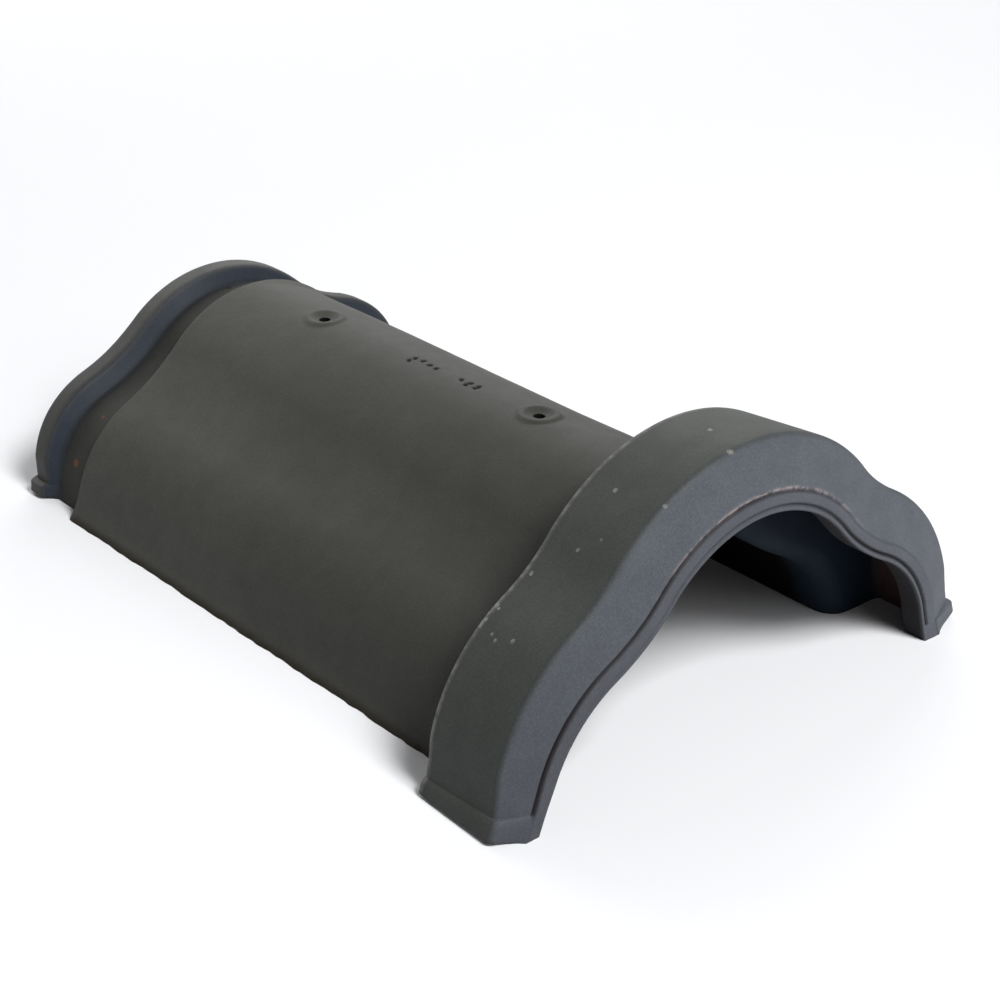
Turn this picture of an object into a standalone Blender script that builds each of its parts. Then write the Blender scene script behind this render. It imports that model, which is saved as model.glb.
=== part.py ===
"""Clay ridge tile: a vault with a hollow collar at its front and a rimmed spigot at its back.

Metres, +Z up. The ridge runs along Y with the collar towards -Y, and both sides stand on z = 0.
The next tile's collar hangs over this tile's spigot: its flange drops into the channel, and
the spigot's rim stands up inside its recess.
"""
import math

import bmesh
import bpy
import numpy as np

# Arch of the body's outer face, from the crown down one side: convex crown, hollow shoulder,
# convex flank, then a straight leaning leg
CREST_HEIGHT = 0.0895
CROWN_RADIUS = 0.062
CROWN_SWEEP = math.radians(45.7)
SHOULDER_RADIUS = 0.115
SHOULDER_SWEEP = math.radians(18.0)
FLANK_RADIUS = 0.0555
FLANK_SWEEP = math.radians(44.2)
BODY_WALL = 0.0171

# Heights over the body's outer face from the left foot over the crown to the right foot. The
# stations count the arch's arcs from the crown: foot, flank, shoulder, crown, and down again.
STATIONS = (-4.0, -2.5, -1.5, 0.0, 1.5, 2.5, 4.0)
MOUTH_CLEARANCE = (0.0037, 0.0014, 0.0008, 0.0030, -0.0005, -0.0012, -0.0025)
FLANGE_DEPTH = (0.0172, 0.0246, 0.0273, 0.0281, 0.0283, 0.0270, 0.0246)
LIP_WIDTH = (0.0060, 0.0080, 0.0083, 0.0080, 0.0072, 0.0075, 0.0080)
COLLAR_DRAFT = (0.0020, 0.0022, 0.0030, 0.0033, 0.0030, 0.0022, 0.0020)
BODY_RISE = (0.0010, 0.0, 0.0, 0.0, -0.0018, 0.0, 0.0)
RIM_RISE = (-0.0015, 0.0054, 0.0020, -0.0009, 0.0020, 0.0076, 0.0009)
CHANNEL_RISE = (-0.0045, -0.0022, -0.0060, -0.0085, -0.0060, -0.0022, -0.0045)

# Collar, front to back
LIP_REACH = 0.0085
FACE_REACH = 0.0077
FLANGE_THICKNESS = 0.0111
FLANGE_SLOPE = 0.0116
RECESS_PLAY = 0.0034
COLLAR_BACK_WALL = 0.0115
COLLAR_WALL = 0.0112

# Body and spigot
BODY_LENGTH = 0.2792
STEP_SLOPE = 0.0035
FLANGE_PLAY = 0.0106
RIM_RAMP = 0.0050
RIM_WIDTH = 0.0120

# Grooves in the collar's face: one along the lip, one behind the bead at the mouth's edge
GROOVE_WIDTH = 0.0014
GROOVE_DEPTH = 0.0012
BEAD_WIDTH = 0.0024

# Corner radii
FACE_EDGE_RADIUS = 0.0030
BAND_EDGE_RADIUS = 0.0015
BAND_FOOT_RADIUS = 0.0020
CHANNEL_RADIUS = 0.0025
RIM_RADIUS = 0.0040
RECESS_RADIUS = 0.0030
THROAT_RADIUS = 0.0100
SMALL_RADIUS = 0.0012
FILLET_SHARE = 0.45

# Base strip around the feet of the collar and the rim
STRIP_HEIGHT_LEFT = 0.0086
STRIP_HEIGHT_RIGHT = 0.0066
STRIP_PROUD_LEFT = 0.0026
STRIP_PROUD_RIGHT = 0.0018
STRIP_BEVEL = 0.0012
RIM_STRIP_SHARE = 1.5
FOOT_CHAMFER = 0.0016

# Nail holes on the crest, each in a shallow dish with a raised ring
NAIL_INSET = 0.0578
NAIL_PITCH = 0.1420
NAIL_SHIFTS = (-0.0010, 0.0030)
NAIL_DIAMETER = 0.0050
DISH_DIAMETER = 0.0140
DISH_DEPTH = 0.0022
RING_DIAMETER = 0.0214
RING_RISE = 0.0010
RING_CREST = 0.0014
RING_ROOT = 0.0040
NAIL_STEPS = 24

# Resolution of the loft
ARCH_STEPS = 24
TABLE_STEPS = 600
TABLE_END = 6.0
LEG_PITCH = 0.020

CLAY_COLOUR = (0.062, 0.065, 0.064, 1.0)
CLAY_ROUGHNESS = 0.72
SHARP_ANGLE = math.radians(40.0)
MERGE_DISTANCE = 0.00001

# Places along the ridge, counted from the collar's outer front edge
LIP_FRONT = -LIP_REACH
FLANGE_BACK = LIP_FRONT + FLANGE_THICKNESS
RECESS_FRONT = FLANGE_BACK + FLANGE_SLOPE
RECESS_BACK = RECESS_FRONT + RIM_WIDTH + RECESS_PLAY
COLLAR_BACK = RECESS_BACK + COLLAR_BACK_WALL
BODY_BACK = COLLAR_BACK + BODY_LENGTH
CHANNEL_BACK = BODY_BACK + FLANGE_THICKNESS + FLANGE_PLAY
RIM_FRONT = CHANNEL_BACK + RIM_RAMP
RIM_BACK = RIM_FRONT + RIM_WIDTH
MIDDLE = (LIP_FRONT + RIM_BACK) / 2.0


def arch(place):
    """Points (x, z) of the body's outer face and its normals at places along the arch.

    The crown is at 0. Each arc takes one unit, counted below zero on the left side, and the leg
    runs on straight below the last arc.
    """
    side = np.where(place < 0.0, -1.0, 1.0)
    t = np.abs(place)
    arcs = (
        (CROWN_RADIUS, CROWN_SWEEP, 1.0),
        (SHOULDER_RADIUS, SHOULDER_SWEEP, -1.0),
        (FLANK_RADIUS, FLANK_SWEEP, 1.0),
    )
    x = np.zeros_like(t)
    z = np.full_like(t, CREST_HEIGHT)
    slope = np.zeros_like(t)
    for index, (radius, sweep, bend) in enumerate(arcs):
        turned = slope + bend * sweep * np.clip(t - index, 0.0, 1.0)
        x = x + bend * radius * (np.sin(turned) - np.sin(slope))
        z = z + bend * radius * (np.cos(turned) - np.cos(slope))
        slope = turned
    leg = LEG_PITCH * np.clip(t - len(arcs), 0.0, None)
    x = x + leg * np.cos(slope)
    z = z - leg * np.sin(slope)
    points = np.stack((side * x, z), axis=-1)
    normals = np.stack((side * np.sin(slope), np.cos(slope)), axis=-1)
    return points, normals


def blend(values, t):
    """Smooth curve through the values at the stations, level at both feet."""
    knots = np.array(STATIONS)
    heights = np.array(values)
    tangents = np.gradient(heights, knots)
    tangents[0] = 0.0
    tangents[-1] = 0.0
    t = np.clip(t, knots[0], knots[-1])
    i = np.clip(np.searchsorted(knots, t, side="right") - 1, 0, len(knots) - 2)
    span = knots[i + 1] - knots[i]
    u = (t - knots[i]) / span
    start = (2.0 * u**3 - 3.0 * u**2 + 1.0) * heights[i] + (u**3 - 2.0 * u**2 + u) * span * tangents[i]
    end = (3.0 * u**2 - 2.0 * u**3) * heights[i + 1] + (u**3 - u**2) * span * tangents[i + 1]
    return start + end


def section_corners(t, proud):
    """Corners of the lengthwise section: place along the ridge, height over the body, radius, steps.

    The list runs over the outside from front to back, home along the underside, and up the
    collar's face. The feet of the collar and the rim grow by the distance proud.
    """
    mouth = blend(MOUTH_CLEARANCE, t)
    collar = mouth + blend(FLANGE_DEPTH, t)
    lip = mouth + blend(LIP_WIDTH, t)
    bead = mouth + BEAD_WIDTH
    body = blend(BODY_RISE, t)
    rim = blend(RIM_RISE, t) + RIM_STRIP_SHARE * proud
    channel = blend(CHANNEL_RISE, t)
    back = collar - blend(COLLAR_DRAFT, t) + proud
    half_groove = GROOVE_WIDTH / 2.0
    return (
        (-proud, collar + proud, FACE_EDGE_RADIUS + proud, 3),
        (COLLAR_BACK, back, BAND_EDGE_RADIUS + proud, 2),
        (COLLAR_BACK + SMALL_RADIUS, body, BAND_FOOT_RADIUS, 2),
        (BODY_BACK, body, SMALL_RADIUS, 1),
        (BODY_BACK + STEP_SLOPE, channel, SMALL_RADIUS, 1),
        (CHANNEL_BACK, channel, CHANNEL_RADIUS, 2),
        (RIM_FRONT, rim, RIM_RADIUS + proud / 2.0, 3),
        (RIM_BACK, rim, RIM_RADIUS + proud / 2.0, 3),
        (RIM_BACK, -BODY_WALL, SMALL_RADIUS, 1),
        (RECESS_BACK, -BODY_WALL, THROAT_RADIUS, 5),
        (RECESS_BACK, collar - COLLAR_WALL, RECESS_RADIUS, 2),
        (RECESS_FRONT, collar - COLLAR_WALL, RECESS_RADIUS, 2),
        (FLANGE_BACK, mouth, SMALL_RADIUS, 1),
        (LIP_FRONT, mouth, SMALL_RADIUS, 1),
        (LIP_FRONT, bead - half_groove, 0.0, 0),
        (LIP_FRONT + GROOVE_DEPTH, bead, 0.0, 0),
        (LIP_FRONT, bead + half_groove, 0.0, 0),
        (LIP_FRONT, lip - half_groove, 0.0, 0),
        (-FACE_REACH + GROOVE_DEPTH, lip, 0.0, 0),
        (-FACE_REACH, lip + half_groove, 0.0, 0),
    )


def fillet(before, corner, after, radius, steps):
    """Points of the arc that rounds a corner, its reach limited by the sides it joins."""
    if steps == 0:
        return [corner]
    side_in = before - corner
    side_out = after - corner
    length_in = np.linalg.norm(side_in, axis=-1, keepdims=True)
    length_out = np.linalg.norm(side_out, axis=-1, keepdims=True)
    side_in = side_in / length_in
    side_out = side_out / length_out
    cosine = np.clip((side_in * side_out).sum(axis=-1, keepdims=True), -0.9999, 0.9999)
    half = np.arccos(cosine) / 2.0
    reach = np.minimum(radius / np.tan(half), FILLET_SHARE * np.minimum(length_in, length_out))
    bisector = side_in + side_out
    bisector = bisector / np.linalg.norm(bisector, axis=-1, keepdims=True)
    centre = corner + bisector * reach / np.cos(half)
    start = corner + side_in * reach - centre
    end = corner + side_out * reach - centre
    swing = math.pi - 2.0 * half
    points = []
    for step in range(steps + 1):
        share = step / steps
        turned = np.sin((1.0 - share) * swing) * start + np.sin(share * swing) * end
        points.append(centre + turned / np.sin(swing))
    return points


def section_points(t, proud):
    """Points (x, y, z) of the section at every arch parameter, as an array [t, point, axis]."""
    corners = section_corners(t, proud)
    flat = [np.stack(np.broadcast_arrays(place + 0.0 * t, height + 0.0 * t), axis=-1)
            for place, height, _, _ in corners]
    outline = []
    for index, (_, _, radius, steps) in enumerate(corners):
        after = flat[(index + 1) % len(flat)]
        outline += fillet(flat[index - 1], flat[index], after, radius, steps)
    outline = np.stack(outline, axis=1)
    points, normals = arch(t)
    place = points[:, None, :] + normals[:, None, :] * outline[:, :, 1:]
    return np.stack((place[:, :, 0], outline[:, :, 0] - MIDDLE, place[:, :, 1]), axis=-1)


def places_at_height(table, t, height):
    """Distance t down one side at which each point of the section comes to a height."""
    return np.array([np.interp(height, table[::-1, k, 2], t[::-1]) for k in range(table.shape[1])])


def row_at(table, t, places):
    """One row of the loft, with each point of the section at its own place down the side."""
    return np.array([[np.interp(places[k], t, table[:, k, axis]) for axis in range(3)]
                     for k in range(table.shape[1])])


def side_rows(side, strip_height, strip_proud):
    """Rows of points from the crown down to the ground, on the right side 1 or the left side -1."""
    t = np.linspace(0.0, TABLE_END, TABLE_STEPS)
    table = section_points(side * t, 0.0)
    lowest = places_at_height(table, t, strip_height + STRIP_BEVEL)
    rows = [row_at(table, t, lowest * step / ARCH_STEPS) for step in range(ARCH_STEPS + 1)]
    foot = (
        (strip_height, strip_proud),
        (FOOT_CHAMFER, strip_proud),
        (0.0, strip_proud - FOOT_CHAMFER),
    )
    for height, proud in foot:
        table = section_points(side * t, proud)
        rows.append(row_at(table, t, places_at_height(table, t, height)))
    rows[0][:, 0] = 0.0
    rows[-1][:, 2] = 0.0
    return rows


def clay_material():
    """Matt fired clay, smoked to a dark grey."""
    material = bpy.data.materials.new("engobed_clay")
    material.use_nodes = True
    shader = material.node_tree.nodes["Principled BSDF"]
    shader.inputs["Base Color"].default_value = CLAY_COLOUR
    shader.inputs["Roughness"].default_value = CLAY_ROUGHNESS
    shader.inputs["Metallic"].default_value = 0.0
    return material


def add_object(name, mesh, collection):
    """Link a mesh to a collection as a named object."""
    made = bpy.data.objects.new(name, mesh)
    collection.objects.link(made)
    return made


def turned_tool(name, profile, place, collection):
    """Body of revolution about a vertical axis, from a profile (radius, height) run top to bottom."""
    mesh = bpy.data.meshes.new(name)
    mesh.from_pydata([(radius, 0.0, height) for radius, height in profile],
                     [(index, index + 1) for index in range(len(profile) - 1)], [])
    tool = add_object(name, mesh, collection)
    tool.location = place
    screw = tool.modifiers.new("turn", "SCREW")
    screw.steps = NAIL_STEPS
    screw.render_steps = NAIL_STEPS
    screw.use_merge_vertices = True
    screw.merge_threshold = MERGE_DISTANCE
    tool.hide_render = True
    tool.display_type = "WIRE"
    return tool


def boolean(target, tool, operation):
    """Join a tool to the target, or cut it away."""
    modifier = target.modifiers.new(tool.name, "BOOLEAN")
    modifier.operation = operation
    modifier.solver = "EXACT"
    modifier.object = tool


def tile_mesh():
    """Loft from the left foot over the crown to the right foot, closed under both feet."""
    left = side_rows(-1.0, STRIP_HEIGHT_LEFT, STRIP_PROUD_LEFT)
    right = side_rows(1.0, STRIP_HEIGHT_RIGHT, STRIP_PROUD_RIGHT)
    rows = left[:0:-1] + right
    mesh = bpy.data.meshes.new("ridge_tile")
    shape = bmesh.new()
    grid = [[shape.verts.new(point) for point in row] for row in rows]
    count = len(grid[0])
    for upper, lower in zip(grid, grid[1:]):
        for k in range(count):
            after = (k + 1) % count
            shape.faces.new((upper[k], upper[after], lower[after], lower[k]))
    shape.faces.new(grid[0])
    shape.faces.new(grid[-1])
    bmesh.ops.recalc_face_normals(shape, faces=shape.faces)
    shape.to_mesh(mesh)
    shape.free()
    return mesh


def add_nail_places(tile, tools):
    """Raised rings, dishes and holes for the nails, in a line along the crest."""
    dish = DISH_DIAMETER / 2.0
    bore = NAIL_DIAMETER / 2.0
    ring = RING_DIAMETER / 2.0
    above = 2.0 * RING_RISE
    below = -2.0 * BODY_WALL
    ring_profile = (
        (0.0, RING_RISE),
        (dish + RING_CREST, RING_RISE),
        (ring, -RING_RISE),
        (ring, -RING_ROOT),
        (0.0, -RING_ROOT),
    )
    dish_profile = (
        (0.0, above),
        (dish + (dish - bore) * (above - RING_RISE) / DISH_DEPTH, above),
        (bore, RING_RISE - DISH_DEPTH),
        (bore, below),
        (0.0, below),
    )
    for index, sideways in enumerate(NAIL_SHIFTS):
        along = BODY_BACK - NAIL_INSET - index * NAIL_PITCH - MIDDLE
        place = (sideways, along, CREST_HEIGHT)
        number = index + 1
        boolean(tile, turned_tool(f"nail_ring_{number}", ring_profile, place, tools), "UNION")
        boolean(tile, turned_tool(f"nail_hole_{number}", dish_profile, place, tools), "DIFFERENCE")


def build():
    """Clear the scene and make the tile."""
    for old in list(bpy.data.objects):
        bpy.data.objects.remove(old, do_unlink=True)
    parts = bpy.data.collections.new("ridge_tile")
    tools = bpy.data.collections.new("cutters")
    bpy.context.scene.collection.children.link(parts)
    bpy.context.scene.collection.children.link(tools)
    tile = add_object("ridge_tile", tile_mesh(), parts)
    tile.data.materials.append(clay_material())
    add_nail_places(tile, tools)
    tile.data.shade_smooth()
    tile.data.set_sharp_from_angle(angle=SHARP_ANGLE)


build()
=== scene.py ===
"""Looks of a clay ridge tile: the fine surface of the fired clay, its finish with light and shade painted
into its colour in places, and a plain studio.
"""
import math

import bmesh
import bpy
import numpy as np
from mathutils import Matrix, Vector


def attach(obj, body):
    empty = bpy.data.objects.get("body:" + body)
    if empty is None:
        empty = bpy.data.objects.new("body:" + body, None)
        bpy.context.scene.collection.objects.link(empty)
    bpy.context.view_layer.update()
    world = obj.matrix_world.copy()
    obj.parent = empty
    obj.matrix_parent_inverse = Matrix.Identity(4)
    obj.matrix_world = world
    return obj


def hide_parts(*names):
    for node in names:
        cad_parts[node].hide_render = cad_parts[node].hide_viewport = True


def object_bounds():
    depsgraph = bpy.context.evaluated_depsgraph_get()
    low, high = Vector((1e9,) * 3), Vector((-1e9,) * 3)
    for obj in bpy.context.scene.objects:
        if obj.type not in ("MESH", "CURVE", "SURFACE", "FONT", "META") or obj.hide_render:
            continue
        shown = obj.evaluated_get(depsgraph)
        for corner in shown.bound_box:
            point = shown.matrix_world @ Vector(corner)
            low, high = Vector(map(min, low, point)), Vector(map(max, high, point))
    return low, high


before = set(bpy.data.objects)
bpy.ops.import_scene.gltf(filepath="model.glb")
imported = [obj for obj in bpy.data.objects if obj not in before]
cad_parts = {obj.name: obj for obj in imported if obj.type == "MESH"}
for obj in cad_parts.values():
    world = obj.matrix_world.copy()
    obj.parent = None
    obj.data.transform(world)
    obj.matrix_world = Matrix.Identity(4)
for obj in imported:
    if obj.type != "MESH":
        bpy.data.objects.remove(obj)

# Arch of the body's outer face, from the crown down one side
CREST_HEIGHT = 0.0895
CROWN_RADIUS = 0.062
CROWN_SWEEP = math.radians(45.7)
SHOULDER_RADIUS = 0.115
SHOULDER_SWEEP = math.radians(18.0)
FLANK_RADIUS = 0.0555
FLANK_SWEEP = math.radians(44.2)
LEG_PITCH = 0.020
BODY_WALL = 0.0171

# Heights over the body's outer face from the left foot over the crown to the right foot
STATIONS = (-4.0, -2.5, -1.5, 0.0, 1.5, 2.5, 4.0)
MOUTH_CLEARANCE = (0.0037, 0.0014, 0.0008, 0.0030, -0.0005, -0.0012, -0.0025)
FLANGE_DEPTH = (0.0172, 0.0246, 0.0273, 0.0281, 0.0283, 0.0270, 0.0246)
LIP_WIDTH = (0.0060, 0.0080, 0.0083, 0.0080, 0.0072, 0.0075, 0.0080)
COLLAR_DRAFT = (0.0020, 0.0022, 0.0030, 0.0033, 0.0030, 0.0022, 0.0020)
BODY_RISE = (0.0010, 0.0, 0.0, 0.0, -0.0018, 0.0, 0.0)
RIM_RISE = (-0.0015, 0.0054, 0.0020, -0.0009, 0.0020, 0.0076, 0.0009)
CHANNEL_RISE = (-0.0045, -0.0022, -0.0060, -0.0085, -0.0060, -0.0022, -0.0045)
LIP_GROOVE = (0.0012, 0.0013, 0.0013, 0.0010, 0.0002, 0.0002, 0.0002)
BEAD_GROOVE = (0.0001, 0.0001, 0.0002, 0.0007, 0.0012, 0.0012, 0.0012)
CHIPPED_LIP = (0.0, 0.0, 0.05, 0.85, 0.05, 0.0, 0.0)

# Collar, body and spigot along the ridge
LIP_REACH = 0.0085
FACE_REACH = 0.0077
FLANGE_THICKNESS = 0.0111
FLANGE_SLOPE = 0.0116
RECESS_PLAY = 0.0034
COLLAR_BACK_WALL = 0.0115
COLLAR_WALL = 0.0112
BODY_LENGTH = 0.2792
STEP_SLOPE = 0.0035
FLANGE_PLAY = 0.0106
RIM_RAMP = 0.0050
RIM_WIDTH = 0.0120
LIP_STEP = 0.0012
GROOVE_SPREAD = 0.0007
BEAD_WIDTH = 0.0024

# Corner radii, the share of a side that a corner may take, and the cosine of an all but straight corner
FACE_EDGE_RADIUS = 0.0030
BAND_EDGE_RADIUS = 0.0015
BAND_FOOT_RADIUS = 0.0020
CHANNEL_RADIUS = 0.0025
RIM_RADIUS = 0.0040
RECESS_RADIUS = 0.0030
THROAT_RADIUS = 0.0100
SMALL_RADIUS = 0.0012
BEAD_RADIUS = 0.0007
FILLET_SHARE = 0.45
STRAIGHT = 0.9999

# Base strip around the feet
STRIP_TOP_LEFT = 0.0100
STRIP_TOP_RIGHT = 0.0076
STRIP_PROUD_LEFT = 0.0019
STRIP_PROUD_RIGHT = 0.0018
STRIP_ROUND_LEFT = 0.0036
STRIP_ROUND_RIGHT = 0.0007
STRIP_ROUND_RIM = 0.0016
STRIP_EDGE_SHARE = -0.2
STRIP_DIP = 0.28
STRIP_DIP_LENGTH = 0.035
FOOT_CHAMFER = 0.0026
RIM_STRIP_SHARE = 2.0

# Nail places
NAIL_INSET = 0.0578
NAIL_PITCH = 0.1420
NAIL_SHIFTS = (-0.0010, 0.0030)
NAIL_DIAMETER = 0.0050
DISH_DIAMETER = 0.0140
DISH_DEPTH = 0.0022
DISH_STEEPNESS = 1.3
RING_DIAMETER = 0.0214
RING_RISE = 0.0008
RING_CREST = 0.0012
RING_FOLLOW = 0.5
BORE_STEPS = 32
BORE_WALLS = 3.0

# Pressed marks on the crest: short strokes, as (sideways, place along the ridge)
STROKES = (
    (-0.0027, 0.1991), (0.0007, 0.1990), (0.0015, 0.1944), (0.0008, 0.1891), (0.0006, 0.1845),
    (0.0011, 0.1682), (-0.0008, 0.1631), (0.0017, 0.1629), (0.0000, 0.1575), (0.0022, 0.1580),
)
STROKE_LENGTH = 0.0010
STROKE_SPREAD = 0.0008
STROKE_DEPTH = 0.0010
# how strongly painted shade darkens the strokes
STROKE_SHADE_TINT = 2.1
STROKE_TILT = math.radians(35.0)
STROKE_PHASE = 2.0
STROKE_TURN = 5.0

# Unevenness of the clay: pitch, height and seed of each layer, and the level that stays in place
SWELLS = ((0.060, 0.00020, 11), (0.021, 0.00005, 12), (0.008, 0.00002, 13))
SWELL_LEVEL = 0.3
NOISE_CELLS = 32

# Burr, darkening towards the ground, and splay along the feet
BURR_HEIGHT = 0.0028
BURR_REACH = 0.0004
BURR_UNEVEN = 0.0006
COLLAR_BURR = 0.25
BURR_PITCH = 0.0042
BURR_SEED = 21
FOOT_DARK_HEIGHT = 0.0042
COLLAR_FOOT_DARK = 0.45
SPLAY_HEIGHT = 0.0080
SPLAY_REACH = 0.0010

# Slight sag of the body beside its crest
SAG = 0.0008
SAG_START = 0.080
SAG_LENGTH = 0.055
REAR_SAG = 0.0005
REAR_SAG_START = 0.265
SAG_SPREAD = 0.35
SAG_END = 2.4

# Density of the fine mesh: steps down a side, rows as (reach from the crest, pitch), and pitches along it
TABLE_STEPS = 420
TABLE_END = 6.0
CREST_ROWS = ((0.0055, 0.0005), (0.0150, 0.0009))
ROW_STEP = 0.046
FINE_PITCH = 0.0007
STROKE_MARGIN = 0.0030
BODY_PITCH = 0.0042
CROWDING = 1.5
ROUND_ROWS = 6
STRIP_ROWS = 6
CHAMFER_ROWS = 3
SHARP_ANGLE = math.radians(50.0)
SHORTEST_NORMAL = 1e-12

# Places along the ridge, counted from the collar's outer front edge
LIP_FRONT = -LIP_REACH
FLANGE_BACK = LIP_FRONT + FLANGE_THICKNESS
RECESS_FRONT = FLANGE_BACK + FLANGE_SLOPE
RECESS_BACK = RECESS_FRONT + RIM_WIDTH + RECESS_PLAY
COLLAR_BACK = RECESS_BACK + COLLAR_BACK_WALL
BODY_BACK = COLLAR_BACK + BODY_LENGTH
CHANNEL_BACK = BODY_BACK + FLANGE_THICKNESS + FLANGE_PLAY
RIM_FRONT = CHANNEL_BACK + RIM_RAMP
RIM_BACK = RIM_FRONT + RIM_WIDTH
MIDDLE = (LIP_FRONT + RIM_BACK) / 2.0
NAIL_PLACES = tuple((sideways, BODY_BACK - NAIL_INSET - index * NAIL_PITCH)
                    for index, sideways in enumerate(NAIL_SHIFTS))

cad_low, cad_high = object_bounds()


def arch(place):
    """Points (x, z) of the body's outer face and its normals at places along the arch."""
    side = np.where(place < 0.0, -1.0, 1.0)
    t = np.abs(place)
    arcs = (
        (CROWN_RADIUS, CROWN_SWEEP, 1.0),
        (SHOULDER_RADIUS, SHOULDER_SWEEP, -1.0),
        (FLANK_RADIUS, FLANK_SWEEP, 1.0),
    )
    x = np.zeros_like(t)
    z = np.full_like(t, CREST_HEIGHT)
    slope = np.zeros_like(t)
    for index, (radius, sweep, bend) in enumerate(arcs):
        turned = slope + bend * sweep * np.clip(t - index, 0.0, 1.0)
        x = x + bend * radius * (np.sin(turned) - np.sin(slope))
        z = z + bend * radius * (np.cos(turned) - np.cos(slope))
        slope = turned
    leg = LEG_PITCH * np.clip(t - len(arcs), 0.0, None)
    x = x + leg * np.cos(slope)
    z = z - leg * np.sin(slope)
    points = np.stack((side * x, z), axis=-1)
    normals = np.stack((side * np.sin(slope), np.cos(slope)), axis=-1)
    return points, normals


def blend(values, t):
    """Smooth curve through the values at the stations, level at both feet."""
    knots = np.array(STATIONS)
    heights = np.array(values)
    tangents = np.gradient(heights, knots)
    tangents[0] = 0.0
    tangents[-1] = 0.0
    t = np.clip(t, knots[0], knots[-1])
    i = np.clip(np.searchsorted(knots, t, side="right") - 1, 0, len(knots) - 2)
    span = knots[i + 1] - knots[i]
    u = (t - knots[i]) / span
    start = (2.0 * u**3 - 3.0 * u**2 + 1.0) * heights[i] + (u**3 - 2.0 * u**2 + u) * span * tangents[i]
    end = (3.0 * u**2 - 2.0 * u**3) * heights[i + 1] + (u**3 - u**2) * span * tangents[i + 1]
    return start + end


def smooth(value):
    """Soft step from 0 to 1."""
    value = np.clip(value, 0.0, 1.0)
    return value * value * (3.0 - 2.0 * value)


def bell(distance, spread):
    """Share that falls from 1 to 0 away from a place."""
    return np.exp(-(distance / spread) ** 2)


def even(count):
    """Shares that cut a side into equal parts."""
    return np.arange(1, count) / count


def body_cuts():
    """Shares that cut the body's long side, closer together at the nail places and the strokes."""
    reach = RING_DIAMETER / 2.0 + FINE_PITCH
    zones = [(along - reach, along + reach) for _, along in NAIL_PLACES]
    marked = [along for _, along in STROKES]
    zones.append((min(marked) - STROKE_MARGIN, max(marked) + STROKE_MARGIN))
    places = []
    place = COLLAR_BACK
    while place < BODY_BACK - SMALL_RADIUS - FINE_PITCH:
        places.append(place)
        steps = [FINE_PITCH for first, last in zones if first <= place <= last]
        steps += [first - place for first, _ in zones if first > place]
        place += min(steps + [BODY_PITCH])
    start = COLLAR_BACK + SMALL_RADIUS + BAND_FOOT_RADIUS
    places = np.array(places)
    return (places[places > start + FINE_PITCH] - start) / (BODY_BACK - SMALL_RADIUS - start)


def section_corners(t, proud, rim_proud, flush):
    """Corners of the lengthwise section: place, height, radius, steps, and cuts of the side after.

    The feet of the collar and the rim grow by their proud distances, and the step between the
    collar's face and its lip is filled by the share flush.
    """
    mouth = blend(MOUTH_CLEARANCE, t)
    collar = mouth + blend(FLANGE_DEPTH, t)
    lip = mouth + blend(LIP_WIDTH, t)
    body = blend(BODY_RISE, t)
    rim = blend(RIM_RISE, t) + RIM_STRIP_SHARE * rim_proud
    channel = blend(CHANNEL_RISE, t)
    back = collar - blend(COLLAR_DRAFT, t) + proud
    face_front = -FACE_REACH - flush * (LIP_REACH - FACE_REACH)
    return (
        (-proud, collar + proud, FACE_EDGE_RADIUS - STRIP_EDGE_SHARE * proud, 7, even(22)),
        (COLLAR_BACK, back, BAND_EDGE_RADIUS, 5, even(8)),
        (COLLAR_BACK + SMALL_RADIUS, body, BAND_FOOT_RADIUS, 4, body_cuts()),
        (BODY_BACK, body, SMALL_RADIUS, 4, even(4)),
        (BODY_BACK + STEP_SLOPE, channel, SMALL_RADIUS, 3, even(6)),
        (CHANNEL_BACK, channel, CHANNEL_RADIUS, 5, even(5)),
        (RIM_FRONT, rim, RIM_RADIUS, 6, even(3)),
        (RIM_BACK, rim, RIM_RADIUS, 6, even(5)),
        (RIM_BACK, -BODY_WALL, SMALL_RADIUS, 3, even(56)),
        (RECESS_BACK, -BODY_WALL, THROAT_RADIUS, 10, even(5)),
        (RECESS_BACK, collar - COLLAR_WALL, RECESS_RADIUS, 5, even(4)),
        (RECESS_FRONT, collar - COLLAR_WALL, RECESS_RADIUS, 5, even(8)),
        (FLANGE_BACK, mouth, SMALL_RADIUS, 4, even(8)),
        (LIP_FRONT, mouth, BEAD_RADIUS, 4, even(20)),
        (LIP_FRONT, lip - LIP_STEP / 2.0, 0.0, 0, even(4)),
        (face_front, lip + LIP_STEP / 2.0, 0.0, 0, even(28) ** CROWDING),
    )


# Numbers along the section: the points of a corner's arc start at the corner's own number and go up
# by the span, and the side after it has the corner's number plus a half
CORNER_SPAN = 0.4
SIDE = 0.5
BAND_EDGE = 1
BODY_SIDE = 2
UNDERSIDE = 8
THROAT = 9
LIP_SIDE = 13

# Ends of the arch's crown and of its last bend, above the straight legs
CROWN_END = 1.0
BEND_END = 3.0


def between(kinds, low, high):
    """Which points of the section lie between two numbers."""
    return (kinds > low) & (kinds < high)


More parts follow.
